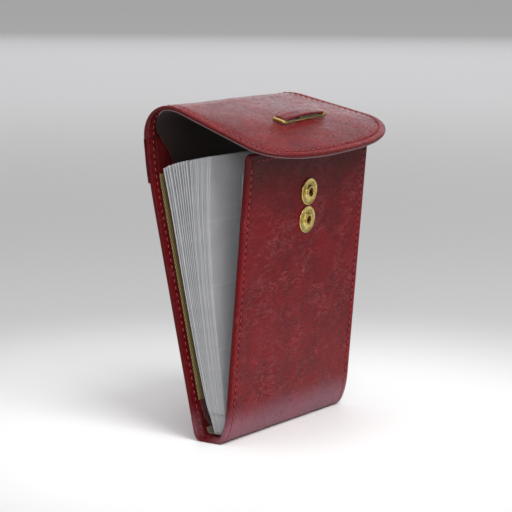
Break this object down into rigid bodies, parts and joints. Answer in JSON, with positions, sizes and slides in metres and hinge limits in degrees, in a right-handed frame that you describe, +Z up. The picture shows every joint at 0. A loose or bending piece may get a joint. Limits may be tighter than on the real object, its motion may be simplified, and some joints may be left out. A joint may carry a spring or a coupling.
{
  "type": "coin album",
  "caption": "Pocket coin album: stitched leather cover standing open on its spine, closing flap with press stud, and a fan of clear pocket leaves.",
  "frame": {"origin": "under the middle of the album's box, on the surface that the spine stands on", "axes": "+X along the width, to the right of a viewer facing the front cover; +Y to the back; +Z up"},
  "size_m": [0.11, 0.0874, 0.1654],
  "materials": {
    "cover_leather": "glossy oxblood leather with fine creases",
    "lining_leather": "satin dark red leather",
    "flap_lining": "matte black lining",
    "board": "matte grey board",
    "brass": "polished, light wear",
    "tape": "woven beige tape",
    "twill": "olive diagonal twill",
    "clear_film": "clear, slightly frosted soft film"
  },
  "bodies": {
    "back_cover": {"back_cover_leather": "cover_leather", "back_cover_board": "board", "back_cover_lining": "lining_leather", "flap_tail": "cover_leather", "spine_tape": "tape", "insert_binding": "clear_film", "back_pocket": "twill", "insert_back_sheet": "clear_film"},
    "front_cover": {"front_cover_leather": "cover_leather", "front_cover_board": "board", "front_cover_lining": "lining_leather", "upper_stud": "brass", "upper_stud_rivet": "brass", "lower_stud": "brass", "lower_stud_rivet": "brass"},
    "flap": {"flap_leather": "cover_leather", "flap_core": "board", "flap_lining": "flap_lining", "press_socket": "brass", "socket_rivet": "brass", "badge_frame": "brass", "badge_strip": "cover_leather"},
    "leaf_01": {"leaf_01": "clear_film"},
    "leaf_02": {"leaf_02": "clear_film"},
    "leaf_03": {"leaf_03": "clear_film"},
    "leaf_04": {"leaf_04": "clear_film"},
    "leaf_05": {"leaf_05": "clear_film"},
    "leaf_06": {"leaf_06": "clear_film"},
    "leaf_07": {"leaf_07": "clear_film"},
    "leaf_08": {"leaf_08": "clear_film"},
    "leaf_09": {"leaf_09": "clear_film"},
    "leaf_10": {"leaf_10": "clear_film"},
    "leaf_11": {"leaf_11": "clear_film"},
    "leaf_12": {"leaf_12": "clear_film"},
    "leaf_13": {"leaf_13": "clear_film"},
    "leaf_14": {"leaf_14": "clear_film"},
    "leaf_15": {"leaf_15": "clear_film"},
    "leaf_16": {"leaf_16": "clear_film"},
    "leaf_17": {"leaf_17": "clear_film"},
    "leaf_18": {"leaf_18": "clear_film"},
    "leaf_19": {"leaf_19": "clear_film"},
    "leaf_20": {"leaf_20": "clear_film"},
    "leaf_21": {"leaf_21": "clear_film"},
    "leaf_22": {"leaf_22": "clear_film"},
    "leaf_23": {"leaf_23": "clear_film"},
    "insert_front_sheet": {"insert_front_sheet": "clear_film"}
  },
  "joints": [
    {"name": "front_cover_hinge", "type": "hinge", "parent": "back_cover", "child": "front_cover", "pos_m": [0, -0.00122, -0.0004], "axis": [1, 0, 0], "range_deg": [-17, 162]},
    {"name": "flap_hinge", "type": "hinge", "parent": "back_cover", "child": "flap", "pos_m": [0, 0.04428, 0.1497], "axis": [-1, 0, 0], "range_deg": [0, 185]},
    {"name": "leaf_01_turn", "type": "hinge", "parent": "back_cover", "child": "leaf_01", "pos_m": [0, 0.00478, 0.0045], "axis": [1, 0, 0], "range_deg": [-1, 7.83]},
    {"name": "leaf_02_turn", "type": "hinge", "parent": "back_cover", "child": "leaf_02", "pos_m": [0, 0.00448, 0.0045], "axis": [1, 0, 0], "range_deg": [-1.55, 13.11]},
    {"name": "leaf_03_turn", "type": "hinge", "parent": "back_cover", "child": "leaf_03", "pos_m": [0, 0.00418, 0.0045], "axis": [1, 0, 0], "range_deg": [-2.11, 18.39]},
    {"name": "leaf_04_turn", "type": "hinge", "parent": "back_cover", "child": "leaf_04", "pos_m": [0, 0.00388, 0.0045], "axis": [1, 0, 0], "range_deg": [-2.67, 23.69]},
    {"name": "leaf_05_turn", "type": "hinge", "parent": "back_cover", "child": "leaf_05", "pos_m": [0, 0.00358, 0.0045], "axis": [1, 0, 0], "range_deg": [-3.22, 28.97]},
    {"name": "leaf_06_turn", "type": "hinge", "parent": "back_cover", "child": "leaf_06", "pos_m": [0, 0.00328, 0.0045], "axis": [1, 0, 0], "range_deg": [-3.78, 34.27]},
    {"name": "leaf_07_turn", "type": "hinge", "parent": "back_cover", "child": "leaf_07", "pos_m": [0, 0.00298, 0.0045], "axis": [1, 0, 0], "range_deg": [-4.33, 39.55]},
    {"name": "leaf_08_turn", "type": "hinge", "parent": "back_cover", "child": "leaf_08", "pos_m": [0, 0.00268, 0.0045], "axis": [1, 0, 0], "range_deg": [-4.88, 44.83]},
    {"name": "leaf_09_turn", "type": "hinge", "parent": "back_cover", "child": "leaf_09", "pos_m": [0, 0.00238, 0.0045], "axis": [1, 0, 0], "range_deg": [-5.44, 50.13]},
    {"name": "leaf_10_turn", "type": "hinge", "parent": "back_cover", "child": "leaf_10", "pos_m": [0, 0.00208, 0.0045], "axis": [1, 0, 0], "range_deg": [-6.16, 56.96]},
    {"name": "leaf_11_turn", "type": "hinge", "parent": "back_cover", "child": "leaf_11", "pos_m": [0, 0.00178, 0.0045], "axis": [1, 0, 0], "range_deg": [-6.33, 58.6]},
    {"name": "leaf_12_turn", "type": "hinge", "parent": "back_cover", "child": "leaf_12", "pos_m": [0, 0.00148, 0.0045], "axis": [1, 0, 0], "range_deg": [-6.5, 60.22]},
    {"name": "leaf_13_turn", "type": "hinge", "parent": "back_cover", "child": "leaf_13", "pos_m": [0, 0.00118, 0.0045], "axis": [1, 0, 0], "range_deg": [-6.67, 61.86]},
    {"name": "leaf_14_turn", "type": "hinge", "parent": "back_cover", "child": "leaf_14", "pos_m": [0, 0.00088, 0.0045], "axis": [1, 0, 0], "range_deg": [-6.84, 63.49]},
    {"name": "leaf_15_turn", "type": "hinge", "parent": "back_cover", "child": "leaf_15", "pos_m": [0, 0.00058, 0.0045], "axis": [1, 0, 0], "range_deg": [-7.01, 65.11]},
    {"name": "leaf_16_turn", "type": "hinge", "parent": "back_cover", "child": "leaf_16", "pos_m": [0, 0.00028, 0.0045], "axis": [1, 0, 0], "range_deg": [-7.18, 66.75]},
    {"name": "leaf_17_turn", "type": "hinge", "parent": "back_cover", "child": "leaf_17", "pos_m": [0, -0.00002, 0.0045], "axis": [1, 0, 0], "range_deg": [-7.36, 68.39]},
    {"name": "leaf_18_turn", "type": "hinge", "parent": "back_cover", "child": "leaf_18", "pos_m": [0, -0.00032, 0.0045], "axis": [1, 0, 0], "range_deg": [-7.53, 70.02]},
    {"name": "leaf_19_turn", "type": "hinge", "parent": "back_cover", "child": "leaf_19", "pos_m": [0, -0.00062, 0.0045], "axis": [1, 0, 0], "range_deg": [-7.7, 71.64]},
    {"name": "leaf_20_turn", "type": "hinge", "parent": "back_cover", "child": "leaf_20", "pos_m": [0, -0.00092, 0.0045], "axis": [1, 0, 0], "range_deg": [-7.87, 73.28]},
    {"name": "leaf_21_turn", "type": "hinge", "parent": "back_cover", "child": "leaf_21", "pos_m": [0, -0.00122, 0.0045], "axis": [1, 0, 0], "range_deg": [-8.04, 74.91]},
    {"name": "leaf_22_turn", "type": "hinge", "parent": "back_cover", "child": "leaf_22", "pos_m": [0, -0.00152, 0.0045], "axis": [1, 0, 0], "range_deg": [-8.21, 76.55]},
    {"name": "leaf_23_turn", "type": "hinge", "parent": "back_cover", "child": "leaf_23", "pos_m": [0, -0.00182, 0.0045], "axis": [1, 0, 0], "range_deg": [-8.38, 78.17]},
    {"name": "insert_front_sheet_turn", "type": "hinge", "parent": "back_cover", "child": "insert_front_sheet", "pos_m": [0, -0.00212, 0.0045], "axis": [1, 0, 0], "range_deg": [-17, 160.29]}
  ],
  "couplings": [
    {"joint": "leaf_01_turn", "follows": "front_cover_hinge", "ratio": 0.0471},
    {"joint": "leaf_02_turn", "follows": "front_cover_hinge", "ratio": 0.0797},
    {"joint": "leaf_03_turn", "follows": "front_cover_hinge", "ratio": 0.1123},
    {"joint": "leaf_04_turn", "follows": "front_cover_hinge", "ratio": 0.145},
    {"joint": "leaf_05_turn", "follows": "front_cover_hinge", "ratio": 0.1776},
    {"joint": "leaf_06_turn", "follows": "front_cover_hinge", "ratio": 0.2103},
    {"joint": "leaf_07_turn", "follows": "front_cover_hinge", "ratio": 0.2429},
    {"joint": "leaf_08_turn", "follows": "front_cover_hinge", "ratio": 0.2755},
    {"joint": "leaf_09_turn", "follows": "front_cover_hinge", "ratio": 0.3082},
    {"joint": "leaf_10_turn", "follows": "front_cover_hinge", "ratio": 0.3504},
    {"joint": "leaf_11_turn", "follows": "front_cover_hinge", "ratio": 0.3605},
    {"joint": "leaf_12_turn", "follows": "front_cover_hinge", "ratio": 0.3705},
    {"joint": "leaf_13_turn", "follows": "front_cover_hinge", "ratio": 0.3806},
    {"joint": "leaf_14_turn", "follows": "front_cover_hinge", "ratio": 0.3907},
    {"joint": "leaf_15_turn", "follows": "front_cover_hinge", "ratio": 0.4007},
    {"joint": "leaf_16_turn", "follows": "front_cover_hinge", "ratio": 0.4108},
    {"joint": "leaf_17_turn", "follows": "front_cover_hinge", "ratio": 0.4209},
    {"joint": "leaf_18_turn", "follows": "front_cover_hinge", "ratio": 0.431},
    {"joint": "leaf_19_turn", "follows": "front_cover_hinge", "ratio": 0.441},
    {"joint": "leaf_20_turn", "follows": "front_cover_hinge", "ratio": 0.4511},
    {"joint": "leaf_21_turn", "follows": "front_cover_hinge", "ratio": 0.4612},
    {"joint": "leaf_22_turn", "follows": "front_cover_hinge", "ratio": 0.4713},
    {"joint": "leaf_23_turn", "follows": "front_cover_hinge", "ratio": 0.4813},
    {"joint": "insert_front_sheet_turn", "follows": "front_cover_hinge", "ratio": 0.9882}
  ]
}
